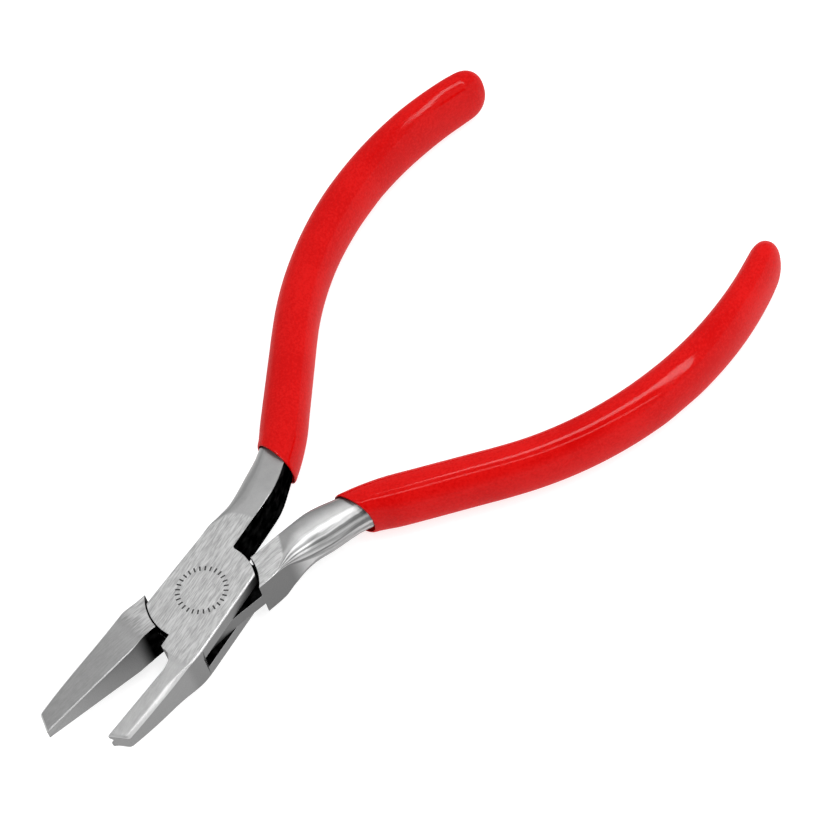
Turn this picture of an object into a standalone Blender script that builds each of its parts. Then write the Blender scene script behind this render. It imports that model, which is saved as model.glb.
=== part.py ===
"""Box-joint crimping pliers, 130 mm long when closed.

Frame: metres, +Z up. X runs along the tool towards the jaw tips, halfway between the open jaws. Z is the
pivot axis. The origin is on that axis, on the flat underside of the box. The pliers stand open at rest.

Each forged half is drawn in its own half frame: the pivot at the origin, z = 0 at mid thickness, +x
towards the tip, the jaw on the +y side and the handle on the -y side, and the line where the jaws meet
along y = 0. The tongue half is that drawing mirrored in y. Lengths in the drawings are millimetres.
"""

import math

import bmesh
import bpy
import numpy as np
from mathutils import Matrix

MM = 0.001

# Whole tool
HALF_OPENING = math.radians(8.315)  # each half is turned this far from closed
BOX_HALF_HEIGHT = 3.5
PIVOT_HEIGHT = BOX_HALF_HEIGHT  # mid thickness above the resting plane of the box

# Box joint
TONGUE_HALF_HEIGHT = 1.2
SLOT_HALF_HEIGHT = 1.26
SLOT_HALF_LENGTH = 8.6
CHEEK_RADIUS_JAW_END = 8.33
CHEEK_RADIUS_HANDLE_END = 8.05
SHOULDER_RADIUS = 8.55
TONGUE_RADIUS = 8.4
PIN_RADIUS = 2.0
BOX_BORE_RADIUS = 2.03
TONGUE_BORE_RADIUS = 2.05
PIN_SIDES = 48
PIN_CHAMFER = 0.12

# Faces beside the joint, as y in the half frame
STOP_FACE_Y = -0.2  # edge of the box that faces the other jaw's root
STOP_FACE_END_X = 10.35
ROOT_REBATE_Y = 0.35  # the tongue half's jaw root is cut back this far to let the stop face in
ROOT_REBATE_END_X = 10.7
ROOT_REBATE_RUN_OUT_X = 14.0  # from there on the jaw face is at y = 0
BOX_NECK_INNER_Y = 0.1
TONGUE_NECK_INNER_Y = -1.13

# Jaws
THROAT_DEPTH = 2.1  # the box half's jaw face is relieved this deep at its root, and runs out at the tip
THROAT_START_X = 13.1
THROAT_FILLET = 1.9
BOX_JAW_LENGTH = 25.4
TONGUE_JAW_LENGTH = 30.1
GROOVE_RADIUS = 0.5
GROOVE_LENGTH = 6.0

NECK_FILLET = 0.45

# Jaw blank
JAW_ROOT_X = 12.6
JAW_ROOT_HALF_HEIGHT = 3.26
BOX_ROOT_WIDTH = 5.15
TONGUE_ROOT_WIDTH = 5.58
TIP_SLANT = math.radians(19.5)  # the tip's end face runs back towards the outer side
BOX_TIP_WIDTH = 3.1
BOX_TIP_HALF_HEIGHT = 1.5
BOX_JAW_ROUNDING = 0.85  # of the jaw's outer corners
TONGUE_TIP_WIDTH = 3.25
TONGUE_TIP_HALF_HEIGHT = 0.92
TONGUE_JAW_ROUNDING = 0.45
BOX_SIDE_Y = 5.75
BOX_SHOULDER_YS = (5.38, 5.56, 5.68)  # the outer side where the box runs into the jaw
TONGUE_SHOULDER_YS = (5.78, 5.88, 5.84)

# Neck sections: x, outer y, inner y, half height, outer corner's width and height, inner corner radius
BOX_NECK = (
    (-9.6, -5.3, 0.5, 3.5, 0.2, 0.2, 0.25),
    (-11.5, -5.0, 0.4, 3.5, 0.8, 0.4, 0.25),
    (-13.6, -5.0, 0.33, 3.48, 2.0, 1.1, 0.25),
    (-16.0, -5.35, 0.22, 3.42, 2.8, 1.8, 0.25),
    (-18.8, -5.85, 0.05, 3.36, 3.0, 2.2, 0.25),
)
TONGUE_NECK = (
    (-9.6, -6.0, -0.6, 3.5, 0.2, 0.2, 0.25),
    (-11.5, -5.85, -0.7, 3.5, 1.4, 0.9, 0.3),
    (-13.6, -6.0, -0.78, 3.47, 2.9, 2.2, 0.5),
    (-16.0, -6.35, -0.85, 3.42, 4.2, 3.1, 0.6),
    (-18.8, -6.95, -0.95, 3.4, 4.6, 3.3, 0.8),
)
# The same at the edge of the grip, measured across the handle from its centre line
BOX_NECK_END = (-3.33, 2.45, 2.93, 2.2, 2.4, 0.25)
TONGUE_NECK_END = (-3.3, 2.8, 3.15, 4.2, 3.05, 1.4)
LIP_LENGTH = 1.7  # behind the dip line, the steel steps down to make room for the grip's wall
DIP_TURN_LENGTH = 8.0
TANG_ROUNDING = 2.5

# Handles: a straight neck, an arc outwards, a straight run and a long arc back inwards
NECK_END = (-13.0, -2.48)
NECK_HEADING = math.radians(-0.7)
FLARE_RADIUS = 33.8
FLARE_ANGLE = math.radians(29.6)
RUN_LENGTH = 17.4
BOW_RADIUS = 57.2
BOW_ANGLE = math.radians(57.4)
# How far each handle is turned about the pivot, so the closed handles lean a little to one side; the
# distance along it from the neck's end to the edge of the grip; and the direction of that edge
BOX_HANDLE = {"turn": math.radians(-1.31), "dip_s": 11.6, "dip_angle": math.radians(-9.3)}
TONGUE_HANDLE = {"turn": math.radians(0.95), "dip_s": 12.2, "dip_angle": math.radians(-13.6)}
GRIP_WALL = 0.85
GRIP_GAP = 0.2  # between steel and grip
GRIP_LIP_WALL = 0.3
GRIP_END_WALL = 2.4
GRIP_END_ROUNDING = 4.5

# Grip outside width and height, at these shares of its length
GRIP_SHARES = (0.0, 0.12, 0.35, 0.6, 0.85, 1.0)
GRIP_WIDTHS = (7.5, 7.1, 6.8, 6.5, 5.3, 4.8)
GRIP_HEIGHTS = (8.4, 8.6, 8.9, 9.8, 11.0, 10.3)

CORNER_STEPS = 4
RING_POINTS = 4 * (CORNER_STEPS + 1)
SPAN_STEPS = 2  # rings added between two stations
OVAL_POWER = 2.25


def clear_scene():
    for obj in list(bpy.data.objects):
        bpy.data.objects.remove(obj, do_unlink=True)


def material(name, colour, roughness, metallic):
    made = bpy.data.materials.new(name)
    made.use_nodes = True
    shader = made.node_tree.nodes["Principled BSDF"]
    shader.inputs["Base Color"].default_value = (*colour, 1.0)
    shader.inputs["Roughness"].default_value = roughness
    shader.inputs["Metallic"].default_value = metallic
    return made


# ---------------------------------------------------------------- curves and sections


def smooth_rings(keys, steps):
    """Rings through the key rings, with a smooth run between them that never overshoots."""
    keys = np.array(keys)
    gaps = np.linalg.norm(np.diff(keys.mean(axis=1), axis=0), axis=1)[:, None, None]
    rates = np.diff(keys, axis=0) / gaps
    before, after = rates[:-1], rates[1:]
    middle = (before * gaps[1:] + after * gaps[:-1]) / (gaps[:-1] + gaps[1:])
    limit = 3 * np.minimum(abs(before), abs(after)) * (before * after > 0)
    middle = np.clip(middle, -limit, limit)
    tangents = np.concatenate([rates[:1], middle, rates[-1:]])
    rings = [keys[0]]
    for i in range(len(keys) - 1):
        rise = keys[i + 1] - keys[i]
        start = tangents[i] * gaps[i]
        end = tangents[i + 1] * gaps[i]
        for k in range(1, steps + 1):
            t = k / steps
            bend = 3 * rise - 2 * start - end + t * (start + end - 2 * rise)
            rings.append(keys[i] + t * (start + t * bend))
    return rings


def handle_point(s):
    """Point and heading of the handle's centre line, at distance s from the neck's end."""
    x, y = NECK_END
    heading = NECK_HEADING
    for length, bend in (
        (FLARE_RADIUS * FLARE_ANGLE, FLARE_ANGLE),
        (RUN_LENGTH, 0.0),
        (BOW_RADIUS * BOW_ANGLE, -BOW_ANGLE),
    ):
        part = min(s, length)
        turn = bend * part / length
        chord = 2 * length / bend * math.sin(turn / 2) if bend else part
        x -= chord * math.cos(heading + turn / 2)
        y -= chord * math.sin(heading + turn / 2)
        heading += turn
        s -= part
    return x, y, heading


HANDLE_LENGTH = FLARE_RADIUS * FLARE_ANGLE + RUN_LENGTH + BOW_RADIUS * BOW_ANGLE


def turned_handle_point(s, turn):
    """The same, with the handle turned about the pivot."""
    x, y, heading = handle_point(s)
    c = math.cos(turn)
    t = math.sin(turn)
    return c * x - t * y, t * x + c * y, heading + turn


def rounded_ring(lo, hi, half_height, lo_width, lo_height, hi_radius):
    """A rectangle from lo to hi with rounded corners, as (v, z) points. The corners at lo may be oval."""
    ring = []
    for v_sign, z_sign, start in ((1, 1, 0), (-1, 1, 90), (-1, -1, 180), (1, -1, 270)):
        wide, high = (hi_radius, hi_radius) if v_sign > 0 else (lo_width, lo_height)
        v = hi - wide if v_sign > 0 else lo + wide
        z = z_sign * (half_height - high)
        for k in range(CORNER_STEPS + 1):
            angle = math.radians(start + 90 * k / CORNER_STEPS)
            ring.append((v + wide * math.cos(angle), z + high * math.sin(angle)))
    return ring


def oval_ring(width, height):
    ring = []
    for k in range(RING_POINTS):
        angle = 2 * math.pi * (k + 0.5) / RING_POINTS
        c = math.cos(angle)
        s = math.sin(angle)
        v = math.copysign(abs(c) ** (2 / OVAL_POWER), c)
        z = math.copysign(abs(s) ** (2 / OVAL_POWER), s)
        ring.append((0.5 * width * v, 0.5 * height * z))
    return ring


def place_ring(ring, x, y, angle):
    """A section's (v, z) points in the half frame, with v square to the direction angle."""
    return [(x - v * math.sin(angle), y + v * math.cos(angle), z) for v, z in ring]


def arc(radius, start, end, steps, centre=(0.0, 0.0)):
    """Points on a circle from one angle to another, in degrees."""
    angles = [math.radians(start + (end - start) * k / steps) for k in range(steps + 1)]
    return [(centre[0] + radius * math.cos(a), centre[1] + radius * math.sin(a)) for a in angles]


# ---------------------------------------------------------------- meshes


def loft(name, rings):
    """A closed body through rings of equal count, capped at both ends."""
    count = len(rings[0])
    points = [tuple(MM * c for c in point) for ring in rings for point in ring]
    faces = [tuple(range(count)), tuple(range(len(points) - count, len(points)))]
    for i in range(0, len(points) - count, count):
        for k in range(count):
            after = (k + 1) % count
            faces.append((i + k, i + after, i + count + after, i + count + k))
    mesh = bpy.data.meshes.new(name)
    mesh.from_pydata(points, [], faces)
    shell = bmesh.new()
    shell.from_mesh(mesh)
    bmesh.ops.recalc_face_normals(shell, faces=shell.faces)
    shell.to_mesh(mesh)
    shell.free()
    obj = bpy.data.objects.new(name, mesh)
    bpy.context.scene.collection.objects.link(obj)
    return obj


def prism(name, outline, z_low, z_high):
    return loft(name, [[(x, y, z) for x, y in outline] for z in (z_low, z_high)])


def cylinder(name, radius, z_low, z_high):
    return prism(name, arc(radius, 0, 360 - 360 / PIN_SIDES, PIN_SIDES - 1), z_low, z_high)


def mirror_y(obj):
    """The tongue half is drawn as the box half is, and turned over in y."""
    obj.data.transform(Matrix.Scale(-1, 4, (0, 1, 0)))
    obj.data.flip_normals()


def cut(obj, cutter):
    modifier = obj.modifiers.new(cutter.name, "BOOLEAN")
    modifier.operation = "DIFFERENCE"
    modifier.solver = "EXACT"
    modifier.object = cutter
    cutter.hide_render = True
    cutter.display_type = "WIRE"
    cutter.parent = obj


def finish(obj, surface, pivot):
    obj.data.materials.append(surface)
    obj.data.shade_smooth()
    obj.data.set_sharp_from_angle(angle=math.radians(35))
    obj.parent = pivot


# ---------------------------------------------------------------- what the machining takes away


def jaw_end_outline(radius, face_y, face_end_x, jaw_face):
    """Beside a jaw root: outside the joint's arc, below the stop face and below the jaw's face."""
    outline = arc(radius, -80, math.degrees(math.asin(face_y / radius)), 24)
    outline.append((face_end_x, face_y))
    outline += jaw_face
    outline += [(40.0, -14.0), (outline[0][0], -14.0)]
    return outline


def box_jaw_face():
    """The rounded throat and the relieved face of the box half's jaw."""
    fillet_centre = (STOP_FACE_END_X + 0.25 + THROAT_FILLET, THROAT_DEPTH - THROAT_FILLET)
    slope = THROAT_DEPTH / (BOX_JAW_LENGTH - THROAT_START_X)
    face = arc(THROAT_FILLET, 180, 90, 8, fillet_centre)
    return face + [(THROAT_START_X, THROAT_DEPTH), (40.0, -slope * (40.0 - BOX_JAW_LENGTH))]


def tongue_jaw_face():
    """The run out of the rebated root and the flat face of the tongue half's jaw."""
    return [(ROOT_REBATE_RUN_OUT_X, 0.0), (40.0, 0.0)]


def handle_end_outline(radius, inner_y):
    """Beside a neck root, with a small fillet where the arc meets the neck's inner face."""
    centre_y = inner_y + NECK_FILLET
    centre_x = -math.sqrt((radius + NECK_FILLET) ** 2 - centre_y**2)
    meet = math.degrees(math.atan2(centre_y, centre_x)) % 360
    outline = arc(radius, 100, meet, 24)
    outline += arc(NECK_FILLET, meet - 180, -90, 5, (centre_x, centre_y))
    outline += [(-21.0, inner_y), (-21.0, 14.0), (outline[0][0], 14.0)]
    return outline


def groove_cutter():
    """A round groove along the box half's jaw face, open at the tip."""
    slope = math.atan(THROAT_DEPTH / (BOX_JAW_LENGTH - THROAT_START_X))
    section = arc(GROOVE_RADIUS, 0, 337.5, 15)
    rings = []
    for along in (GROOVE_LENGTH, -3.0):
        x = BOX_JAW_LENGTH - along * math.cos(slope)
        y = along * math.sin(slope)
        rings.append(place_ring(section, x, y, -slope))
    return loft("groove_cutter", rings)


# ---------------------------------------------------------------- forged blanks


def blank_stations(length, root_width, tip_width, tip_half_height, jaw_rounding, shoulder, neck):
    """Sections from jaw tip to neck: x, direction, and what rounded_ring takes. The jaw tapers straight in
    width and in height."""

    def jaw(x, angle):
        share = (x - JAW_ROOT_X) / (length - JAW_ROOT_X)
        width = root_width + (tip_width - root_width) * share
        half_height = JAW_ROOT_HALF_HEIGHT + (tip_half_height - JAW_ROOT_HALF_HEIGHT) * share
        return (x, angle, -0.7, width / math.cos(angle), half_height, 0.2, 0.2, jaw_rounding)

    box_end_y = neck[0][1]
    return (
        jaw(length, TIP_SLANT),
        jaw(length - 2.5, 0.4 * TIP_SLANT),
        jaw(length - 6.0, 0.0),
        jaw(JAW_ROOT_X + 1.5, 0.0),
        (11.4, 0.0, -2.2, shoulder[0], 3.41, 0.15, 0.15, 0.4),
        (10.4, 0.0, -3.8, shoulder[1], 3.48, 0.15, 0.15, 0.3),
        (9.4, 0.0, -5.4, shoulder[2], BOX_HALF_HEIGHT, 0.15, 0.15, 0.3),
        (7.8, 0.0, -6.25, BOX_SIDE_Y, BOX_HALF_HEIGHT, 0.15, 0.15, 0.3),
        (0.0, 0.0, -5.85, BOX_SIDE_Y, BOX_HALF_HEIGHT, 0.15, 0.15, 0.3),
        (-7.6, 0.0, box_end_y - 0.05, BOX_SIDE_Y, BOX_HALF_HEIGHT, 0.15, 0.15, 0.3),
        *((x, 0.0, *section) for x, *section in neck),
    )


def grip_size(share):
    """Outside width and height of the grip at this share of its length."""
    return np.interp(share, GRIP_SHARES, GRIP_WIDTHS), np.interp(share, GRIP_SHARES, GRIP_HEIGHTS)


def end_scale(distance, rounding):
    """How far a section has shrunk at this distance from a rounded end."""
    near = max(0.0, 1 - distance / rounding)
    return (1 - near**2.4) ** (1 / 2.4)


def handle_ring(handle, s, inset, scale=1.0):
    """A section of the grip, or of what lies inset under its skin. It runs along the dip line at the
    grip's edge, and is square to the handle further on."""
    beyond = s - handle["dip_s"]
    width, height = grip_size(beyond / (HANDLE_LENGTH - handle["dip_s"]))
    x, y, heading = turned_handle_point(s, handle["turn"])
    turned = min(1.0, max(0.0, beyond / DIP_TURN_LENGTH))
    angle = heading * turned + handle["dip_angle"] * (1 - turned)
    return place_ring(oval_ring((width - 2 * inset) * scale, (height - 2 * inset) * scale), x, y, angle)


def tang_stops(handle):
    """Where the steel and the grip's inner skin both have their sections, so they run side by side."""
    start = handle["dip_s"] + LIP_LENGTH
    return [start, *np.linspace(start + 0.9, HANDLE_LENGTH - GRIP_END_WALL - TANG_ROUNDING, 14)]


def tang_rings(handle):
    """The steel inside the grip, from past its lip to the end."""
    inset = GRIP_WALL + GRIP_GAP
    end = HANDLE_LENGTH - GRIP_END_WALL
    rings = [handle_ring(handle, s, inset) for s in tang_stops(handle)]
    for distance in (1.4, 0.6, 0.15, 0.0):
        rings.append(handle_ring(handle, end - distance, inset, end_scale(distance + 0.05, TANG_ROUNDING)))
    return rings


def forged_blank(name, stations, neck_end, handle):
    """One forging before machining: jaw, box block, neck and tang."""
    keys = []
    for x, angle, *section in stations:
        keys.append(place_ring(rounded_ring(*section), x, 0.0, angle))
    for beyond in (-0.6, 0.1):
        x, y, _ = turned_handle_point(handle["dip_s"] + beyond, handle["turn"])
        keys.append(place_ring(rounded_ring(*neck_end), x, y, handle["dip_angle"]))
    return loft(name, smooth_rings(keys + tang_rings(handle), SPAN_STEPS))


# ---------------------------------------------------------------- parts


def box_half(steel, pivot):
    """The half whose two cheeks stand over and under the other half's tongue."""
    stations = blank_stations(
        BOX_JAW_LENGTH,
        BOX_ROOT_WIDTH,
        BOX_TIP_WIDTH,
        BOX_TIP_HALF_HEIGHT,
        BOX_JAW_ROUNDING,
        BOX_SHOULDER_YS,
        BOX_NECK,
    )
    obj = forged_blank("box_half", stations, BOX_NECK_END, BOX_HANDLE)
    jaw_end = jaw_end_outline(CHEEK_RADIUS_JAW_END, STOP_FACE_Y, STOP_FACE_END_X, box_jaw_face())
    cut(obj, prism("box_jaw_cutter", jaw_end, -9, 9))
    handle_end = handle_end_outline(CHEEK_RADIUS_HANDLE_END, BOX_NECK_INNER_Y)
    cut(obj, prism("box_handle_cutter", handle_end, -9, 9))
    slot = [(x * SLOT_HALF_LENGTH, y) for x, y in ((-1, -11), (1, -11), (1, 11), (-1, 11))]
    cut(obj, prism("slot_cutter", slot, -SLOT_HALF_HEIGHT, SLOT_HALF_HEIGHT))
    cut(obj, cylinder("box_bore_cutter", BOX_BORE_RADIUS, -9, 9))
    cut(obj, groove_cutter())
    finish(obj, steel, pivot)


def tongue_half(steel, pivot):
    """The half whose middle is a tongue, thin enough to swing between the cheeks."""
    stations = blank_stations(
        TONGUE_JAW_LENGTH,
        TONGUE_ROOT_WIDTH,
        TONGUE_TIP_WIDTH,
        TONGUE_TIP_HALF_HEIGHT,
        TONGUE_JAW_ROUNDING,
        TONGUE_SHOULDER_YS,
        TONGUE_NECK,
    )
    obj = forged_blank("tongue_half", stations, TONGUE_NECK_END, TONGUE_HANDLE)
    jaw_end = jaw_end_outline(TONGUE_RADIUS, ROOT_REBATE_Y, ROOT_REBATE_END_X, tongue_jaw_face())
    handle_end = handle_end_outline(TONGUE_RADIUS, TONGUE_NECK_INNER_Y)
    cutters = (
        cylinder("upper_cheek_cutter", SHOULDER_RADIUS, TONGUE_HALF_HEIGHT, 9),
        cylinder("lower_cheek_cutter", SHOULDER_RADIUS, -9, -TONGUE_HALF_HEIGHT),
        cylinder("tongue_bore_cutter", TONGUE_BORE_RADIUS, -9, 9),
        prism("tongue_handle_cutter", handle_end, -9, 9),
        prism("tongue_jaw_cutter", jaw_end, -9, 9),
    )
    mirror_y(obj)
    for cutter in cutters:
        mirror_y(cutter)
        cut(obj, cutter)
    finish(obj, steel, pivot)


def rivet(steel, pivot):
    """The pin of the joint, ground flush with both cheeks."""
    rings = []
    for radius, z in (
        (PIN_RADIUS - PIN_CHAMFER, -BOX_HALF_HEIGHT),
        (PIN_RADIUS, PIN_CHAMFER - BOX_HALF_HEIGHT),
        (PIN_RADIUS, BOX_HALF_HEIGHT - PIN_CHAMFER),
        (PIN_RADIUS - PIN_CHAMFER, BOX_HALF_HEIGHT),
    ):
        rings.append([(x, y, z) for x, y in arc(radius, 0, 360 - 360 / PIN_SIDES, PIN_SIDES - 1)])
    finish(loft("rivet", rings), steel, pivot)


def grip(name, handle, mirrored, vinyl, pivot):
    """A dipped sleeve: the inner skin from its closed end to the dip line, then the outer skin back."""
    dip_s = handle["dip_s"]
    bottom = HANDLE_LENGTH - GRIP_END_WALL
    inner = [handle_ring(handle, dip_s + d, GRIP_LIP_WALL) for d in (-0.02, 0.6)]
    inner += [handle_ring(handle, s, GRIP_WALL) for s in tang_stops(handle)]
    for distance in (1.4, 0.6, 0.15, 0.0):
        scale = end_scale(distance + 0.05, TANG_ROUNDING)
        inner.append(handle_ring(handle, bottom + GRIP_GAP - distance, GRIP_WALL, scale))
    outer = [handle_ring(handle, dip_s + d, inset) for d, inset in ((-0.02, 0.12), (0.25, 0.02))]
    skin = np.linspace(dip_s + 1.2, HANDLE_LENGTH - GRIP_END_ROUNDING, 18)
    outer += [handle_ring(handle, s, 0.0) for s in skin]
    for distance in (3.0, 1.8, 0.9, 0.35, 0.08, 0.0):
        scale = end_scale(distance + 0.004, GRIP_END_ROUNDING)
        outer.append(handle_ring(handle, HANDLE_LENGTH - distance, 0.0, scale))
    obj = loft(name, smooth_rings(inner, SPAN_STEPS)[::-1] + smooth_rings(outer, SPAN_STEPS))
    if mirrored:
        mirror_y(obj)
    finish(obj, vinyl, pivot)


def side_pivot(name, turn):
    """An empty on the joint's axis that carries one side of the tool."""
    empty = bpy.data.objects.new(name, None)
    empty.location = (0, 0, MM * PIVOT_HEIGHT)
    empty.rotation_euler = (0, 0, turn)
    bpy.context.scene.collection.objects.link(empty)
    return empty


def main():
    clear_scene()
    box_steel = material("box_half_steel", (0.56, 0.56, 0.56), 0.32, 1.0)
    tongue_steel = material("tongue_half_steel", (0.5, 0.5, 0.5), 0.34, 1.0)
    pin_steel = material("rivet_steel", (0.58, 0.58, 0.57), 0.3, 1.0)
    box_vinyl = material("box_grip_vinyl", (0.66, 0.015, 0.013), 0.28, 0.0)
    tongue_vinyl = material("tongue_grip_vinyl", (0.66, 0.015, 0.013), 0.28, 0.0)
    box_side = side_pivot("box_side_pivot", HALF_OPENING)
    tongue_side = side_pivot("tongue_side_pivot", -HALF_OPENING)
    box_half(box_steel, box_side)
    rivet(pin_steel, box_side)
    grip("box_half_grip", BOX_HANDLE, False, box_vinyl, box_side)
    tongue_half(tongue_steel, tongue_side)
    grip("tongue_half_grip", TONGUE_HANDLE, True, tongue_vinyl, tongue_side)


main()
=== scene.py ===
"""The looks of the box-joint crimping pliers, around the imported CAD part.

Frame: metres, +Z up, X along the tool towards the jaw tips, the pivot on the Z axis.

The forged halves and the sleeves are built again here as finer pieces, from the same drawings as the CAD
solids. A half is drawn closed in its own half frame: millimetres, the pivot at the origin, z = 0 at mid
thickness, +x towards the tip, the jaw on the +y side and the handle on the -y side. The tongue half is
that drawing mirrored in y.
"""

import math

import bmesh
import bpy
import numpy as np
from mathutils import Matrix, Vector

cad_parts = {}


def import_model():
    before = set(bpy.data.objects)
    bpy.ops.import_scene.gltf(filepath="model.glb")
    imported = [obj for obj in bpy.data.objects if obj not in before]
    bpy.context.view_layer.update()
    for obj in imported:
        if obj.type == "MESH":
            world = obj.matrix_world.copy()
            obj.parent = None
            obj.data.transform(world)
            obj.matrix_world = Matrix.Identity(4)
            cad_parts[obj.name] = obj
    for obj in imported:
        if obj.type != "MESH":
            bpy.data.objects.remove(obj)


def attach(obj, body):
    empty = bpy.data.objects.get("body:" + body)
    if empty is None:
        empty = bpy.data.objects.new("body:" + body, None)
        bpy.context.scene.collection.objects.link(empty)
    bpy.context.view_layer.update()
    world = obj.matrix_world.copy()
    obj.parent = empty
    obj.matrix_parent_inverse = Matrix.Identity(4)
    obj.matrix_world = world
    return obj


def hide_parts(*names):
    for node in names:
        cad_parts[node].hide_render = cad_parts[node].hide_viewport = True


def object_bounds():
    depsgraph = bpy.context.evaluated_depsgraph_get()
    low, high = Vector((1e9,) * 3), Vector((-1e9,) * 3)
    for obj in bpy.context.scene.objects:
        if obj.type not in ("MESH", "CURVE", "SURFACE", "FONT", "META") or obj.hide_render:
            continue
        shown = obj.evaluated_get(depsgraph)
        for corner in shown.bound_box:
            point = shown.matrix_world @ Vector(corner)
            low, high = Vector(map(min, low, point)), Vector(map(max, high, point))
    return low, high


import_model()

CAD_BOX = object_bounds()

MM = 0.001
HALF_OPENING = math.radians(8.315)  # each half is turned this far from closed
HALF_HEIGHT = 3.5

# Box joint
TONGUE_HALF_HEIGHT = 1.2
SLOT_HALF_HEIGHT = 1.26
SLOT_HALF_LENGTH = 8.6
CHEEK_RADIUS_JAW_END = 8.33
CHEEK_RADIUS_HANDLE_END = 8.05
SHOULDER_RADIUS = 8.55
TONGUE_RADIUS = 8.4
PIN_RADIUS = 2.0
BOX_BORE_RADIUS = 2.005
TONGUE_BORE_RADIUS = 2.05

# Faces beside the joint, as y in the half frame
STOP_FACE_Y = -0.2
STOP_FACE_END_X = 10.35
ROOT_REBATE_Y = 0.35
ROOT_REBATE_END_X = 10.7
ROOT_REBATE_RUN_OUT_X = 14.0  # from there on the jaw face is at y = 0
BOX_NECK_INNER_Y = 0.1
TONGUE_NECK_INNER_Y = -1.13

# Jaws
THROAT_DEPTH = 2.1
THROAT_START_X = 13.1
THROAT_FILLET = 1.9
THROAT_SET_BACK = 0.25  # from the end of the stop face to where the throat's fillet starts
BOX_JAW_LENGTH = 25.4
TONGUE_JAW_LENGTH = 30.1
BOX_FACE_SLOPE = THROAT_DEPTH / (BOX_JAW_LENGTH - THROAT_START_X)
GROOVE_RADIUS = 0.5
GROOVE_LENGTH = 6.0
GROOVE_SIDES = 24
NECK_FILLET = 0.45
JAW_ROOT_X = 12.6
JAW_ROOT_HALF_HEIGHT = 3.26
JAW_ROOT_RUN = 1.5
TIP_SLANT = math.radians(19.5)
TIP_BLEND = ((0.0, 1.0), (2.5, 0.4), (6.0, 0.0))  # distance from the tip, share of its slant
BOX_SIDE_Y = 5.75
FACE_SPARE = 0.7  # steel left on a jaw's face for its cutter to take
JAW_CORNER = 0.2
BLOCK_CORNER = 0.15
BOX_JAW = {
    "length": BOX_JAW_LENGTH,
    "root_width": 5.15,
    "tip_width": 3.1,
    "tip_half_height": 1.5,
    "shoulder": (5.38, 5.56, 5.68),
    "outer_round": 0.85,
}
TONGUE_JAW = {
    "length": TONGUE_JAW_LENGTH,
    "root_width": 5.58,
    "tip_width": 3.25,
    "tip_half_height": 0.92,
    "shoulder": (5.78, 5.88, 5.84),
    "outer_round": 0.45,
}

# How far the cutters reach past the forging
CUT_HALF_HEIGHT = 9.0
CUT_REACH_X = 40.0
CUT_REACH_Y = 14.0
HANDLE_CUT_END_X = -20.5
SLOT_CUT_REACH_Y = 11.0
GROOVE_CUT_REACH = 3.0
ARC_STEPS = 48
THROAT_STEPS = 14
NECK_FILLET_STEPS = 6
JAW_ARC_START = -80  # degrees; the cuts beside the jaw and the neck start here on the joint's arc
NECK_ARC_START = 100

# Neck sections: x, outer y, inner y, half height, outer corner's width and height, inner corner radius
BOX_NECK = (
    (-9.6, -5.3, 0.5, 3.5, 0.2, 0.2, 0.25),
    (-11.5, -5.0, 0.4, 3.5, 0.8, 0.4, 0.25),
    (-13.6, -5.0, 0.33, 3.48, 2.0, 1.1, 0.25),
    (-16.0, -5.35, 0.22, 3.42, 2.8, 1.8, 0.25),
    (-18.8, -5.85, 0.05, 3.36, 3.0, 2.2, 0.25),
)
TONGUE_NECK = (
    (-9.6, -6.0, -0.6, 3.5, 0.2, 0.2, 0.25),
    (-11.5, -5.85, -0.7, 3.5, 1.4, 0.9, 0.3),
    (-13.6, -6.0, -0.78, 3.47, 2.9, 2.2, 0.5),
    (-16.0, -6.35, -0.85, 3.42, 4.2, 3.1, 0.6),
    (-18.8, -6.95, -0.95, 3.4, 4.6, 3.3, 0.8),
)
# The same at the edge of the grip, measured across the handle from its centre line, and the places of
# those sections from the dip line
BOX_NECK_END = (-3.33, 2.45, 2.93, 2.2, 2.4, 0.25)
TONGUE_NECK_END = (-3.3, 2.8, 3.15, 4.2, 3.05, 1.4)
NECK_END_STOPS = (-0.6, 0.1)

# Handles: a straight neck, an arc outwards, a straight run and a long arc back inwards
NECK_END = (-13.0, -2.48)
NECK_HEADING = math.radians(-0.7)
FLARE_RADIUS = 33.8
FLARE_ANGLE = math.radians(29.6)
RUN_LENGTH = 17.4
BOW_RADIUS = 57.2
BOW_ANGLE = math.radians(57.4)
HANDLE_LENGTH = FLARE_RADIUS * FLARE_ANGLE + RUN_LENGTH + BOW_RADIUS * BOW_ANGLE
BOX_HANDLE = {"turn": math.radians(-1.31), "dip_s": 11.6, "dip_angle": math.radians(-9.3)}
TONGUE_HANDLE = {"turn": math.radians(0.95), "dip_s": 12.2, "dip_angle": math.radians(-13.6)}
DIP_TURN_LENGTH = 8.0
LIP_LENGTH = 1.7
TANG_ROUNDING = 2.5
TANG_SECTIONS = 14
TANG_FIRST_GAP = 0.9
TANG_END_STOPS = (1.4, 0.6, 0.15, 0.0)  # sections on the rounded end, by distance from it
TANG_END_FLAT = 0.05
GRIP_WALL = 0.85
GRIP_GAP = 0.2
GRIP_LIP_WALL = 0.3
GRIP_END_WALL = 2.4
GRIP_END_ROUNDING = 4.5
GRIP_END_STOPS = (3.4, 2.4, 1.5, 0.8, 0.35, 0.1, 0.0)
GRIP_END_FLAT = 0.004
LIP_INNER_STOPS = (0.06, 0.6)
LIP_PROFILE = ((-0.02, 0.22), (0.0, 0.14), (0.06, 0.06), (0.2, 0.01))  # distance past the dip line, inset
SKIN_START = 1.0
SKIN_SECTIONS = 18
GRIP_SHARES = (0.0, 0.12, 0.35, 0.6, 0.85, 1.0)
GRIP_WIDTHS = (7.5, 7.1, 6.8, 6.5, 5.3, 4.8)
GRIP_HEIGHTS = (8.4, 8.6, 8.9, 9.8, 11.0, 10.3)

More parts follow.
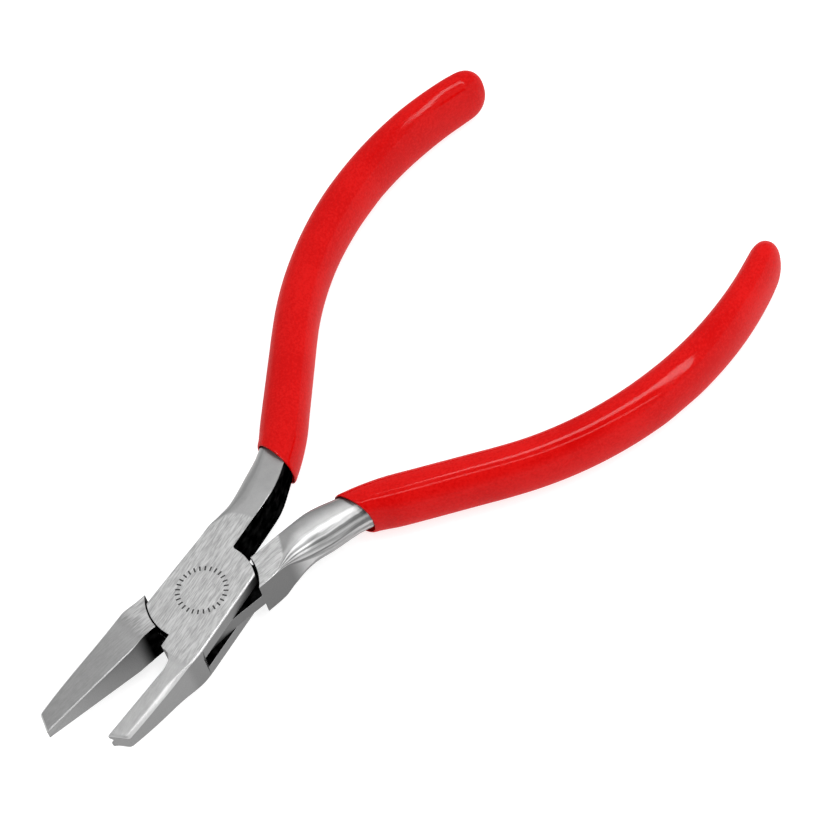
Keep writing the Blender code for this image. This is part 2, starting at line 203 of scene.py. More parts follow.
CORNER_STEPS = 7
RING_POINTS = 4 * (CORNER_STEPS + 1)
SPAN_STEPS = 4
OVAL_POWER = 2.25
END_POWER = 2.4

# Rounded edges
EDGE_WIDTH = 0.26  # on a jaw; the edges of the box joint have a share of it
JOINT_EDGE_SHARE = 0.25
NECK_EDGES_END_X = -9.5
MERGE_DISTANCE = 0.02
FLAT_ANGLE = math.radians(0.4)
ROUNDED_ANGLE = math.radians(24)  # edges that turn by more than this are rounded
SMOOTH_ANGLE = math.radians(50)
NORMAL_WEIGHT = 90

# Punched ring around the rivet
TICK_COUNT = 28
TICK_RADIUS = 3.65
TICK_LENGTH = 0.75
TICK_WIDTH = 0.24
TICK_DEPTH = 0.08

# Camera: from the jaw end and the tongue handle's side, about 55 degrees above the bench
CAMERA_TARGET = Vector((-42.51, 3.77, 3.5)) * MM
CAMERA_AZIMUTH = math.radians(54.67)
CAMERA_ELEVATION = math.radians(55.27)
CAMERA_ROLL = math.radians(-17.34)
CAMERA_DISTANCE = 444 * MM
CAMERA_LENS = 129.0


# ---------------------------------------------------------------- curves and sections


def smooth_rings(keys, steps):
    """Rings through the key rings, with a smooth run between them that never overshoots."""
    keys = np.array(keys)
    gaps = np.linalg.norm(np.diff(keys.mean(axis=1), axis=0), axis=1)[:, None, None]
    rates = np.diff(keys, axis=0) / gaps
    before, after = rates[:-1], rates[1:]
    middle = (before * gaps[1:] + after * gaps[:-1]) / (gaps[:-1] + gaps[1:])
    limit = 3 * np.minimum(abs(before), abs(after)) * (before * after > 0)
    middle = np.clip(middle, -limit, limit)
    tangents = np.concatenate([rates[:1], middle, rates[-1:]])
    rings = [keys[0]]
    for i in range(len(keys) - 1):
        rise = keys[i + 1] - keys[i]
        start = tangents[i] * gaps[i]
        end = tangents[i + 1] * gaps[i]
        for k in range(1, steps + 1):
            t = k / steps
            bend = 3 * rise - 2 * start - end + t * (start + end - 2 * rise)
            rings.append(keys[i] + t * (start + t * bend))
    return rings


def handle_point(s, turn):
    """Point and heading of the handle's centre line, at distance s from the neck's end, with the handle
    turned about the pivot."""
    x, y = NECK_END
    heading = NECK_HEADING
    for length, bend in (
        (FLARE_RADIUS * FLARE_ANGLE, FLARE_ANGLE),
        (RUN_LENGTH, 0.0),
        (BOW_RADIUS * BOW_ANGLE, -BOW_ANGLE),
    ):
        part = min(s, length)
        angle = bend * part / length
        chord = 2 * length / bend * math.sin(angle / 2) if bend else part
        x -= chord * math.cos(heading + angle / 2)
        y -= chord * math.sin(heading + angle / 2)
        heading += angle
        s -= part
    c = math.cos(turn)
    t = math.sin(turn)
    return c * x - t * y, t * x + c * y, heading + turn


def rounded_ring(lo, hi, half_height, lo_width, lo_height, hi_radius):
    """A rectangle from lo to hi with rounded corners, as (v, z) points. The corners at lo may be oval."""
    ring = []
    for v_sign, z_sign, start in ((1, 1, 0), (-1, 1, 90), (-1, -1, 180), (1, -1, 270)):
        wide, high = (hi_radius, hi_radius) if v_sign > 0 else (lo_width, lo_height)
        v = hi - wide if v_sign > 0 else lo + wide
        z = z_sign * (half_height - high)
        for k in range(CORNER_STEPS + 1):
            angle = math.radians(start + 90 * k / CORNER_STEPS)
            ring.append((v + wide * math.cos(angle), z + high * math.sin(angle)))
    return ring


def oval_ring(width, height):
    ring = []
    for k in range(RING_POINTS):
        angle = 2 * math.pi * (k + 0.5) / RING_POINTS
        c = math.cos(angle)
        s = math.sin(angle)
        v = math.copysign(abs(c) ** (2 / OVAL_POWER), c)
        z = math.copysign(abs(s) ** (2 / OVAL_POWER), s)
        ring.append((0.5 * width * v, 0.5 * height * z))
    return ring


def place_ring(ring, x, y, angle):
    """A section's (v, z) points in the half frame, with v square to the direction angle."""
    return [(x - v * math.sin(angle), y + v * math.cos(angle), z) for v, z in ring]


def arc(radius, start, end, steps, centre=(0.0, 0.0)):
    """Points on a circle from one angle to another, in degrees."""
    angles = [math.radians(start + (end - start) * k / steps) for k in range(steps + 1)]
    return [(centre[0] + radius * math.cos(a), centre[1] + radius * math.sin(a)) for a in angles]


# ---------------------------------------------------------------- meshes


def loft(name, rings):
    """A closed body through rings of equal count, capped at both ends, in millimetres."""
    count = len(rings[0])
    points = [tuple(point) for ring in rings for point in ring]
    faces = [tuple(range(count)), tuple(range(len(points) - count, len(points)))]
    for i in range(0, len(points) - count, count):
        for k in range(count):
            after = (k + 1) % count
            faces.append((i + k, i + after, i + count + after, i + count + k))
    mesh = bpy.data.meshes.new(name)
    mesh.from_pydata(points, [], faces)
    shell = bmesh.new()
    shell.from_mesh(mesh)
    bmesh.ops.recalc_face_normals(shell, faces=shell.faces)
    shell.to_mesh(mesh)
    shell.free()
    obj = bpy.data.objects.new(name, mesh)
    bpy.context.scene.collection.objects.link(obj)
    return obj


def prism(name, outline, z_low, z_high):
    return loft(name, [[(x, y, z) for x, y in outline] for z in (z_low, z_high)])


def cylinder(name, radius, z_low, z_high, centre=(0.0, 0.0), sides=64):
    return prism(name, arc(radius, 0, 360 - 360 / sides, sides - 1, centre), z_low, z_high)


def mirror_y(obj):
    obj.data.transform(Matrix.Scale(-1, 4, (0, 1, 0)))
    obj.data.flip_normals()


def applied(obj):
    """Replaces an object's mesh by what its modifiers make of it."""
    bpy.context.view_layer.update()
    result = obj.evaluated_get(bpy.context.evaluated_depsgraph_get())
    made = bpy.data.meshes.new_from_object(result)
    obj.modifiers.clear()
    old = obj.data
    obj.data = made
    bpy.data.meshes.remove(old)


def cut(obj, cutters):
    for cutter in cutters:
        modifier = obj.modifiers.new(cutter.name, "BOOLEAN")
        modifier.operation = "DIFFERENCE"
        modifier.solver = "EXACT"
        modifier.object = cutter
    applied(obj)
    for cutter in cutters:
        bpy.data.objects.remove(cutter)


def round_edges(obj):
    """Takes the sharpness off the machined edges: more on the jaws than around the box joint. The bore
    and the punched ring stay sharp, and the necks have their forged corners."""
    shell = bmesh.new()
    shell.from_mesh(obj.data)
    bmesh.ops.remove_doubles(shell, verts=shell.verts, dist=MERGE_DISTANCE)
    bmesh.ops.dissolve_degenerate(shell, edges=shell.edges, dist=MERGE_DISTANCE)
    bmesh.ops.dissolve_limit(shell, angle_limit=FLAT_ANGLE, verts=shell.verts, edges=shell.edges)
    weight = shell.edges.layers.float.new("bevel_weight_edge")
    for edge in shell.edges:
        middle = (edge.verts[0].co + edge.verts[1].co) / 2
        machined = middle.x > NECK_EDGES_END_X and middle.xy.length > TICK_RADIUS + TICK_LENGTH
        if machined and edge.calc_face_angle(0.0) > ROUNDED_ANGLE:
            edge[weight] = 1.0 if middle.x > JAW_ROOT_X else JOINT_EDGE_SHARE
    shell.to_mesh(obj.data)
    shell.free()
    bevel = obj.modifiers.new("edges", "BEVEL")
    bevel.limit_method = "WEIGHT"
    bevel.width = EDGE_WIDTH
    bevel.segments = 2
    bevel.use_clamp_overlap = False
    applied(obj)


def place(obj, turn, body, surface, replaced):
    """Puts a piece drawn in a half frame where it belongs, and hands it to its body."""
    obj.data.transform(Matrix.Rotation(turn, 4, "Z"))
    obj.data.transform(Matrix.Translation((0, 0, HALF_HEIGHT)))
    obj.data.transform(Matrix.Scale(MM, 4))
    obj.data.materials.clear()
    obj.data.materials.append(surface)
    obj.data.shade_smooth()
    obj.data.set_sharp_from_angle(angle=SMOOTH_ANGLE)
    weighted = obj.modifiers.new("even_normals", "WEIGHTED_NORMAL")
    weighted.weight = NORMAL_WEIGHT
    weighted.keep_sharp = True
    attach(obj, body)
    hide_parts(replaced)


# ---------------------------------------------------------------- what the machining takes away


def jaw_end_outline(radius, face_y, face_end_x, jaw_face):
    """Beside a jaw root: outside the joint's arc, below the stop face and below the jaw's face."""
    outline = arc(radius, JAW_ARC_START, math.degrees(math.asin(face_y / radius)), ARC_STEPS)
    outline.append((face_end_x, face_y))
    outline += jaw_face
    outline += [(CUT_REACH_X, -CUT_REACH_Y), (outline[0][0], -CUT_REACH_Y)]
    return outline


def box_jaw_face():
    """The rounded throat and the relieved face of the box half's jaw."""
    fillet_x = STOP_FACE_END_X + THROAT_SET_BACK + THROAT_FILLET
    face = arc(THROAT_FILLET, 180, 90, THROAT_STEPS, (fillet_x, THROAT_DEPTH - THROAT_FILLET))
    face.append((THROAT_START_X, THROAT_DEPTH))
    face.append((CUT_REACH_X, -BOX_FACE_SLOPE * (CUT_REACH_X - BOX_JAW_LENGTH)))
    return face


def tongue_jaw_face():
    """The run out of the rebated root and the flat face of the tongue half's jaw."""
    return [(ROOT_REBATE_RUN_OUT_X, 0.0), (CUT_REACH_X, 0.0)]


def handle_end_outline(radius, inner_y):
    """Beside a neck root, with a small fillet where the arc meets the neck's inner face."""
    centre_y = inner_y + NECK_FILLET
    centre_x = -math.sqrt((radius + NECK_FILLET) ** 2 - centre_y**2)
    meet = math.degrees(math.atan2(centre_y, centre_x)) % 360
    outline = arc(radius, NECK_ARC_START, meet, ARC_STEPS)
    outline += arc(NECK_FILLET, meet - 180, -90, NECK_FILLET_STEPS, (centre_x, centre_y))
    outline += [(HANDLE_CUT_END_X, inner_y), (HANDLE_CUT_END_X, CUT_REACH_Y)]
    outline.append((outline[0][0], CUT_REACH_Y))
    return outline


def groove_cutter():
    """A round groove along the box half's jaw face, open at the tip."""
    angle = math.atan(BOX_FACE_SLOPE)
    section = arc(GROOVE_RADIUS, 0, 360 - 360 / GROOVE_SIDES, GROOVE_SIDES - 1)
    rings = []
    for along in (GROOVE_LENGTH, -GROOVE_CUT_REACH):
        x = BOX_JAW_LENGTH - along * math.cos(angle)
        y = along * math.sin(angle)
        rings.append(place_ring(section, x, y, -angle))
    return loft("groove_cutter", rings)


def tick_cutter():
    """A plain ring of short punched strokes around the rivet, on the upper cheek."""
    shell = bmesh.new()
    for k in range(TICK_COUNT):
        stroke = bmesh.ops.create_cube(shell, size=1.0)["verts"]
        bmesh.ops.scale(shell, verts=stroke, vec=(TICK_LENGTH, TICK_WIDTH, 2 * TICK_DEPTH))
        bmesh.ops.translate(shell, verts=stroke, vec=(TICK_RADIUS, 0, HALF_HEIGHT))
        turn = Matrix.Rotation(2 * math.pi * k / TICK_COUNT, 3, "Z")
        bmesh.ops.rotate(shell, verts=stroke, cent=(0, 0, 0), matrix=turn)
    mesh = bpy.data.meshes.new("tick_cutter")
    shell.to_mesh(mesh)
    shell.free()
    obj = bpy.data.objects.new("tick_cutter", mesh)
    bpy.context.scene.collection.objects.link(obj)
    return obj


# ---------------------------------------------------------------- forged halves


def forged_blank(name, jaw, neck, neck_end, handle):
    """One forging before machining: jaw, box block, neck and tang."""

    def jaw_station(x, angle):
        share = (x - JAW_ROOT_X) / (jaw["length"] - JAW_ROOT_X)
        width = jaw["root_width"] + (jaw["tip_width"] - jaw["root_width"]) * share
        half_height = JAW_ROOT_HALF_HEIGHT + (jaw["tip_half_height"] - JAW_ROOT_HALF_HEIGHT) * share
        outer_y = width / math.cos(angle)
        ring = rounded_ring(-FACE_SPARE, outer_y, half_height, JAW_CORNER, JAW_CORNER, jaw["outer_round"])
        return place_ring(ring, x, 0.0, angle)

    keys = [jaw_station(jaw["length"] - back, share * TIP_SLANT) for back, share in TIP_BLEND]
    keys.append(jaw_station(JAW_ROOT_X + JAW_ROOT_RUN, 0.0))
    shoulder = jaw["shoulder"]
    # The shoulder and the box block: x, lowest y, highest y, half height, corner radius at the highest y
    for x, lo, hi, half_height, radius in (
        (11.4, -2.2, shoulder[0], 3.41, 0.4),
        (10.4, -3.8, shoulder[1], 3.48, 0.3),
        (9.4, -5.4, shoulder[2], HALF_HEIGHT, 0.3),
        (7.8, -6.25, BOX_SIDE_Y, HALF_HEIGHT, 0.3),
        (0.0, -5.85, BOX_SIDE_Y, HALF_HEIGHT, 0.3),
        (-7.6, neck[0][1] - 0.05, BOX_SIDE_Y, HALF_HEIGHT, 0.3),
    ):
        ring = rounded_ring(lo, hi, half_height, BLOCK_CORNER, BLOCK_CORNER, radius)
        keys.append(place_ring(ring, x, 0.0, 0.0))
    for x, *section in neck:
        keys.append(place_ring(rounded_ring(*section), x, 0.0, 0.0))
    for beyond in NECK_END_STOPS:
        x, y, _ = handle_point(handle["dip_s"] + beyond, handle["turn"])
        keys.append(place_ring(rounded_ring(*neck_end), x, y, handle["dip_angle"]))
    return loft(name, smooth_rings(keys + tang_rings(handle), SPAN_STEPS))


def grip_size(share):
    """Outside width and height of the grip at this share of its length."""
    return np.interp(share, GRIP_SHARES, GRIP_WIDTHS), np.interp(share, GRIP_SHARES, GRIP_HEIGHTS)


def end_scale(distance, rounding):
    """How far a section has shrunk at this distance from a rounded end."""
    near = max(0.0, 1 - distance / rounding)
    return (1 - near**END_POWER) ** (1 / END_POWER)


def handle_ring(handle, s, inset, scale=1.0):
    """A section of the grip, or of what lies inset under its skin. It runs along the dip line at the
    grip's edge, and is square to the handle further on."""
    beyond = s - handle["dip_s"]
    width, height = grip_size(beyond / (HANDLE_LENGTH - handle["dip_s"]))
    x, y, heading = handle_point(s, handle["turn"])
    turned = min(1.0, max(0.0, beyond / DIP_TURN_LENGTH))
    angle = heading * turned + handle["dip_angle"] * (1 - turned)
    ring = oval_ring((width - 2 * inset) * scale, (height - 2 * inset) * scale)
    return place_ring(ring, x, y, angle)


def tang_stops(handle):
    """Where the steel and the grip's inner skin both have their sections, so they run side by side."""
    start = handle["dip_s"] + LIP_LENGTH
    end = HANDLE_LENGTH - GRIP_END_WALL - TANG_ROUNDING
    return [start, *np.linspace(start + TANG_FIRST_GAP, end, TANG_SECTIONS)]


def tang_end_rings(handle, end, inset):
    """The rounded end of the steel, or of the space for it."""
    rings = []
    for distance in TANG_END_STOPS:
        scale = end_scale(distance + TANG_END_FLAT, TANG_ROUNDING)
        rings.append(handle_ring(handle, end - distance, inset, scale))
    return rings


def tang_rings(handle):
    """The steel inside the grip, from past its lip to the end."""
    inset = GRIP_WALL + GRIP_GAP
    rings = [handle_ring(handle, s, inset) for s in tang_stops(handle)]
    return rings + tang_end_rings(handle, HANDLE_LENGTH - GRIP_END_WALL, inset)


def box_steel(surface):
    """The half whose two cheeks stand over and under the other half's tongue."""
    obj = forged_blank("box_half_steel", BOX_JAW, BOX_NECK, BOX_NECK_END, BOX_HANDLE)
    jaw_end = jaw_end_outline(CHEEK_RADIUS_JAW_END, STOP_FACE_Y, STOP_FACE_END_X, box_jaw_face())
    handle_end = handle_end_outline(CHEEK_RADIUS_HANDLE_END, BOX_NECK_INNER_Y)
    slot = [
        (x * SLOT_HALF_LENGTH, y * SLOT_CUT_REACH_Y) for x, y in ((-1, -1), (1, -1), (1, 1), (-1, 1))
    ]
    cutters = (
        prism("jaw_cutter", jaw_end, -CUT_HALF_HEIGHT, CUT_HALF_HEIGHT),
        prism("handle_cutter", handle_end, -CUT_HALF_HEIGHT, CUT_HALF_HEIGHT),
        prism("slot_cutter", slot, -SLOT_HALF_HEIGHT, SLOT_HALF_HEIGHT),
        groove_cutter(),
        cylinder("bore_cutter", BOX_BORE_RADIUS, -CUT_HALF_HEIGHT, CUT_HALF_HEIGHT),
        tick_cutter(),
    )
    cut(obj, cutters)
    round_edges(obj)
    place(obj, HALF_OPENING, "box_side", surface, "box_half")


def tongue_steel(surface):
    """The half whose middle is a tongue, thin enough to swing between the cheeks."""
    obj = forged_blank("tongue_half_steel", TONGUE_JAW, TONGUE_NECK, TONGUE_NECK_END, TONGUE_HANDLE)
    jaw_end = jaw_end_outline(TONGUE_RADIUS, ROOT_REBATE_Y, ROOT_REBATE_END_X, tongue_jaw_face())
    handle_end = handle_end_outline(TONGUE_RADIUS, TONGUE_NECK_INNER_Y)
    cutters = (
        cylinder("upper_cheek_cutter", SHOULDER_RADIUS, TONGUE_HALF_HEIGHT, CUT_HALF_HEIGHT, sides=96),
        cylinder("lower_cheek_cutter", SHOULDER_RADIUS, -CUT_HALF_HEIGHT, -TONGUE_HALF_HEIGHT, sides=96),
        cylinder("bore_cutter", TONGUE_BORE_RADIUS, -CUT_HALF_HEIGHT, CUT_HALF_HEIGHT),
        prism("handle_cutter", handle_end, -CUT_HALF_HEIGHT, CUT_HALF_HEIGHT),
        prism("jaw_cutter", jaw_end, -CUT_HALF_HEIGHT, CUT_HALF_HEIGHT),
    )
    cut(obj, cutters)
    round_edges(obj)
    mirror_y(obj)
    place(obj, -HALF_OPENING, "tongue_side", surface, "tongue_half")


def pin(surface):
    """The rivet, ground flush with both cheeks."""
    obj = cylinder("rivet_steel", PIN_RADIUS, -HALF_HEIGHT, HALF_HEIGHT)
    place(obj, HALF_OPENING, "box_side", surface, "rivet")


# ---------------------------------------------------------------- dipped sleeves


def sleeve(name, handle, mirrored, turn, body, surface, replaced):
    """A dipped sleeve: the inner skin from its closed end to the dip line, then the outer skin back."""
    dip_s = handle["dip_s"]
    inner = [handle_ring(handle, dip_s + d, GRIP_LIP_WALL) for d in LIP_INNER_STOPS]
    inner += [handle_ring(handle, s, GRIP_WALL) for s in tang_stops(handle)]
    inner += tang_end_rings(handle, HANDLE_LENGTH - GRIP_END_WALL + GRIP_GAP, GRIP_WALL)
    outer = [handle_ring(handle, dip_s + d, inset) for d, inset in LIP_PROFILE]
    skin = np.linspace(dip_s + SKIN_START, HANDLE_LENGTH - GRIP_END_ROUNDING, SKIN_SECTIONS)
    outer += [handle_ring(handle, s, 0.0) for s in skin]
    for distance in GRIP_END_STOPS:
        scale = end_scale(distance + GRIP_END_FLAT, GRIP_END_ROUNDING)
        outer.append(handle_ring(handle, HANDLE_LENGTH - distance, 0.0, scale))
    obj = loft(name, smooth_rings(inner, SPAN_STEPS)[::-1] + smooth_rings(outer, SPAN_STEPS))
    if mirrored:
        mirror_y(obj)
    place(obj, turn, body, surface, replaced)


# ---------------------------------------------------------------- materials


class Nodes:
    """Adds shader nodes whose inputs are set or linked in the same call."""

    def __init__(self, tree):
        self.tree = tree

    def add(self, kind, inputs, **settings):
        made = self.tree.nodes.new(kind)
        for key, value in settings.items():
            setattr(made, key, value)
        self.fill(made, inputs)
        return made

    def fill(self, node, inputs):
        for key, value in inputs.items():
            if isinstance(value, bpy.types.NodeSocket):
                self.tree.links.new(value, node.inputs[key])
            else:
                node.inputs[key].default_value = value

    def math(self, operation, *values):
        return self.add("ShaderNodeMath", dict(enumerate(values)), operation=operation).outputs[0]

    def step(self, value, low, high):
        """0 at low and 1 at high, smooth between; low may be above high."""
        inputs = {"Value": value, "From Min": low, "From Max": high}
        return self.add("ShaderNodeMapRange", inputs, interpolation_type="SMOOTHSTEP").outputs[0]

    def scale(self, value, low, high):
        """0..1 onto low..high."""
        inputs = {"Value": value, "To Min": low, "To Max": high}
        return self.add("ShaderNodeMapRange", inputs).outputs[0]

    def times(self, a, b):
        return self.math("MULTIPLY", a, b)

    def both(self, *masks):
        out = masks[0]
        for mask in masks[1:]:
            out = self.times(out, mask)
        return out

    def either(self, *masks):
        out = masks[0]
        for mask in masks[1:]:
            out = self.math("MAXIMUM", out, mask)
        return out

    def mix(self, factor, a, b):
        return self.add("ShaderNodeMix", {0: factor, 2: a, 3: b}, data_type="FLOAT").outputs[0]

    def mix_colour(self, factor, a, b):
        return self.add("ShaderNodeMix", {0: factor, 6: a, 7: b}, data_type="RGBA").outputs[2]

    def noise(self, vector, scale, detail, roughness, distortion=0.0):
        inputs = {
            "Vector": vector,
            "Scale": scale,
            "Detail": detail,
            "Roughness": roughness,
            "Distortion": distortion,
        }
        return self.add("ShaderNodeTexNoise", inputs).outputs["Fac"]

    def grain(self, vector, rates, turn, roughness, distortion=0.0):
        """Noise drawn out along one direction: rates are how fast it varies along x, y and z."""
        inputs = {"Vector": vector, "Scale": rates, "Rotation": (0, 0, turn)}
        drawn_out = self.add("ShaderNodeMapping", inputs).outputs[0]
        return self.noise(drawn_out, 1.0, 2.0, roughness, distortion)

    def split(self, vector):
        parts = self.add("ShaderNodeSeparateXYZ", {0: vector}).outputs
        return parts[0], parts[1], parts[2]


def grey(level):
    return (level, level, level, 1.0)


def new_material(name):
    made = bpy.data.materials.new(name)
    made.use_nodes = True
    return made, Nodes(made.node_tree), made.node_tree.nodes["Principled BSDF"]


def half_frame(nodes, turn):
    """Place in millimetres and normal, in one half's own frame."""
    source = nodes.add("ShaderNodeTexCoord", {})
    turned = []
    for output in ("Object", "Normal"):
        inputs = {"Vector": source.outputs[output], "Axis": (0, 0, 1), "Angle": -turn}
        turned.append(nodes.add("ShaderNodeVectorRotate", inputs).outputs[0])
    where, normal = turned
    where = nodes.add("ShaderNodeVectorMath", {0: where, "Scale": 1 / MM}, operation="SCALE").outputs[0]
    inputs = {0: where, 1: (0, 0, -HALF_HEIGHT)}
    where = nodes.add("ShaderNodeVectorMath", inputs, operation="ADD").outputs[0]
    return where, normal


# The steel's grain: how fast each noise varies per millimetre, along x, y and z, and its turn about z
STROKE_RATES = (0.55, 4.8, 4.8)
STROKE_TURN = 0.06
BROAD_RATES = (0.16, 1.1, 1.1)
BROAD_TURN = -0.05
LINE_RATES = (0.07, 4.5, 4.5)
FINE_RATE = 6.0
CLOUD_RATE = 0.7
STROKE_CONTRAST = (0.3, 0.7)
# Painted reflection bands round the tongue half's neck
BAND_RATE = 6.0  # per radian round the neck
BAND_DRIFT = 0.05  # per millimetre along it
BAND_CONTRAST = (0.38, 0.62)
BAND_RAGGEDNESS = (-0.25, 0.25)

# Where the steel's finishes start and end. Each pair is where a mask is 0 and where it is 1. X and DEPTH
# are millimetres in the half frame, UP is how squarely a face looks up, ACROSS how squarely along y.
# Some of these masks place painted shade and painted highlights, as marked below.
FLAT_UP = (0.985, 0.997)
FLAT_DEPTH = (3.3, 3.42)
GROUND_END_X = (11.9, 10.6)
BELT_BLUR = (0.3, -0.2)  # beyond the arc's radius
BELT_FULL_X = (-8.2, -7.9)
JAW_START_X = (10.8, 12.4)
JAW_FACE_START_X = (9.0, 10.0)
JAW_FACE_ACROSS = (-0.6, -0.9)
NECK_START_X = (-9.2, -10.2)
CROWN_UP = (0.975, 0.935)
SIDE_UP = (0.5, 0.25)
# the sides, rougher and darkened as painted shade
ROUGH_SHADED_SIDE_START_X = (-15.5, -11.5)
# slopes and rounded edges, brightened as a painted highlight
EDGE_UP_FROM = (0.3, 0.45)
EDGE_UP_TO = (0.965, 0.92)
EDGE_START_X = (-10.5, -9.0)
# black scale with painted shade: in the slot, on the arcs' walls, in the throat and on the necks' inner
# faces
SLOT_DEPTH = (1.45, 1.32)
SLOT_END_X = (8.9, 8.5)
ROOF_UP = (0.6, 0.9)
WALL_ACROSS = (0.75, 0.55)
WALL_END_X = (9.6, 9.2)
THROAT_ACROSS = (-0.3, -0.7)
THROAT_FROM_X = (6.0, 7.0)
THROAT_END_X = (13.2, 10.4)
INNER_NECK_ACROSS = (0.55, 0.85)
INNER_NECK_START_X = (-7.6, -8.0)
RING_REACH = (4.6, 4.5)
PUNCH_DEPTH_FROM = (3.3, 3.34)
PUNCH_DEPTH_TO = (3.47, 3.44)
FILED_UP = (0.9, 0.95)

# How bright the steel is, painted shade and painted highlights included, and how much its grain varies
# that
JAW_FADE_X = (18.0, 11.5)  # from the jaw's level to its root's
GROUND_FADE_X = (8.0, 12.0)
# A jaw's inner face: painted shade, darker towards its root where the other jaw is
FACE_SHADE_FADE_X = (9.0, 31.0)
FACE_SHADE_LEVELS = (0.2, 0.29)
# Painted highlight on the slopes and rounded edges
EDGE_HIGHLIGHT_LEVELS = (0.4, 0.5)  # around the joint, on the jaw
GROUND_LEVEL = 0.4
# Black scale with painted shade in the recesses
SCALE_AND_SHADE_LEVEL = 0.008
SCALE_AND_SHADE_CONTRAST = (0.4, 0.8)
PUNCHED_LEVEL = 0.06
MOTTLE = (0.9, 1.1)
SIDE_MOTTLE = (0.8, 1.2)
FACE_MOTTLE = (0.7, 1.3)
FILE_SPREAD = (0.8, 1.2)
BAND_SPREAD = (0.5, 1.6)
STROKE_SPREAD = (0.77, 1.21)
BROAD_SPREAD = (0.85, 1.15)
BODY_ROUGHNESS = 0.42
NECK_ROUGHNESS = 0.4
DULL_ROUGHNESS = 0.55
GROUND_ROUGHNESS = (0.33, 0.43)
SCALE_ROUGHNESS = (0.5, 0.8)
STEEL_RELIEF = 0.04
STEEL_BUMP = 0.12
SCRATCH_SHARE = 0.45


def steel_grain(nodes, where):
    """Marks of the grinding belt on the cheeks and of the file on the jaws, and an even grain."""
    strokes = nodes.grain(where, STROKE_RATES, STROKE_TURN, 0.6, 0.4)
    return {
        "strokes": nodes.step(strokes, *STROKE_CONTRAST),
        "broad": nodes.grain(where, BROAD_RATES, BROAD_TURN, 0.5),
        "lines": nodes.grain(where, LINE_RATES, 0.0, 0.6),
        "fine": nodes.noise(where, FINE_RATE, 3.0, 0.65),
        "cloud": nodes.noise(where, CLOUD_RATE, 2.0, 0.5),
    }


def steel_places(nodes, where, normal, side, look):
    """Where each finish, painted shade and painted highlight lies on a half, as masks from 0 to 1, with
    the x and the slope they come from.
    """
    x, y, z = nodes.split(where)
    _, ny, nz = nodes.split(normal)
    y = nodes.times(y, side)
    ny = nodes.times(ny, side)
    depth = nodes.math("ABSOLUTE", z)
    up = nodes.math("ABSOLUTE", nz)
    reach_x = nodes.math("ABSOLUTE", x)

    # The ground cheek ends in an arc where the belt left it
    centre_x, centre_y, radius = look["ground"]
    off_x = nodes.math("POWER", nodes.math("SUBTRACT", x, centre_x), 2.0)
    off_y = nodes.math("POWER", nodes.math("SUBTRACT", y, centre_y), 2.0)
    from_centre = nodes.math("SQRT", nodes.math("ADD", off_x, off_y))
    in_arc = nodes.step(from_centre, radius + BELT_BLUR[0], radius + BELT_BLUR[1])
    belt_end = nodes.either(in_arc, nodes.step(x, *BELT_FULL_X))
    flat = nodes.both(nodes.step(up, *FLAT_UP), nodes.step(depth, *FLAT_DEPTH))
    ground = nodes.both(flat, nodes.step(x, *GROUND_END_X), belt_end)
    neck = nodes.both(nodes.step(x, *NECK_START_X), nodes.math("SUBTRACT", 1.0, ground))
    side_face = nodes.step(up, *SIDE_UP)
    sloping = nodes.both(nodes.step(up, *EDGE_UP_FROM), nodes.step(up, *EDGE_UP_TO))
    edge = nodes.both(sloping, nodes.step(x, *EDGE_START_X))

    # Black forging scale with painted shade: in the slot, on the arcs' walls, in the throat and on the
    # necks' inner faces
    inside = nodes.both(nodes.step(depth, *SLOT_DEPTH), nodes.step(reach_x, *SLOT_END_X))
    roof = nodes.both(inside, nodes.step(up, *ROOF_UP))
    wall = nodes.both(nodes.step(nodes.math("ABSOLUTE", ny), *WALL_ACROSS), side_face)
    wall = nodes.both(wall, nodes.step(reach_x, *WALL_END_X))
    throat = nodes.both(
        nodes.step(ny, *THROAT_ACROSS), nodes.step(x, *THROAT_END_X), nodes.step(x, *THROAT_FROM_X)
    )
    inner_neck = nodes.both(nodes.step(ny, *INNER_NECK_ACROSS), nodes.step(x, *INNER_NECK_START_X))

    # The floors of the punched strokes
    reach_y = nodes.math("ABSOLUTE", y)
    around = nodes.both(nodes.step(reach_x, *RING_REACH), nodes.step(reach_y, *RING_REACH))
    below = nodes.both(nodes.step(depth, *PUNCH_DEPTH_FROM), nodes.step(depth, *PUNCH_DEPTH_TO))
    return {
        "x": x,
        "up": up,
        "ground": ground,
        "jaw": nodes.step(x, *JAW_START_X),
        "jaw_face": nodes.both(nodes.step(ny, *JAW_FACE_ACROSS), nodes.step(x, *JAW_FACE_START_X)),
        "neck": neck,
        "crown": nodes.step(up, *CROWN_UP),
        # The sides: rougher, and darkened as painted shade
        "rough_shaded_side": nodes.both(side_face, nodes.step(x, *ROUGH_SHADED_SIDE_START_X)),
        # Slopes and rounded edges, brightened as a painted highlight
        "edge": edge,
        "black": nodes.either(roof, wall, throat, inner_neck),
        "punched": nodes.both(around, below),
    }


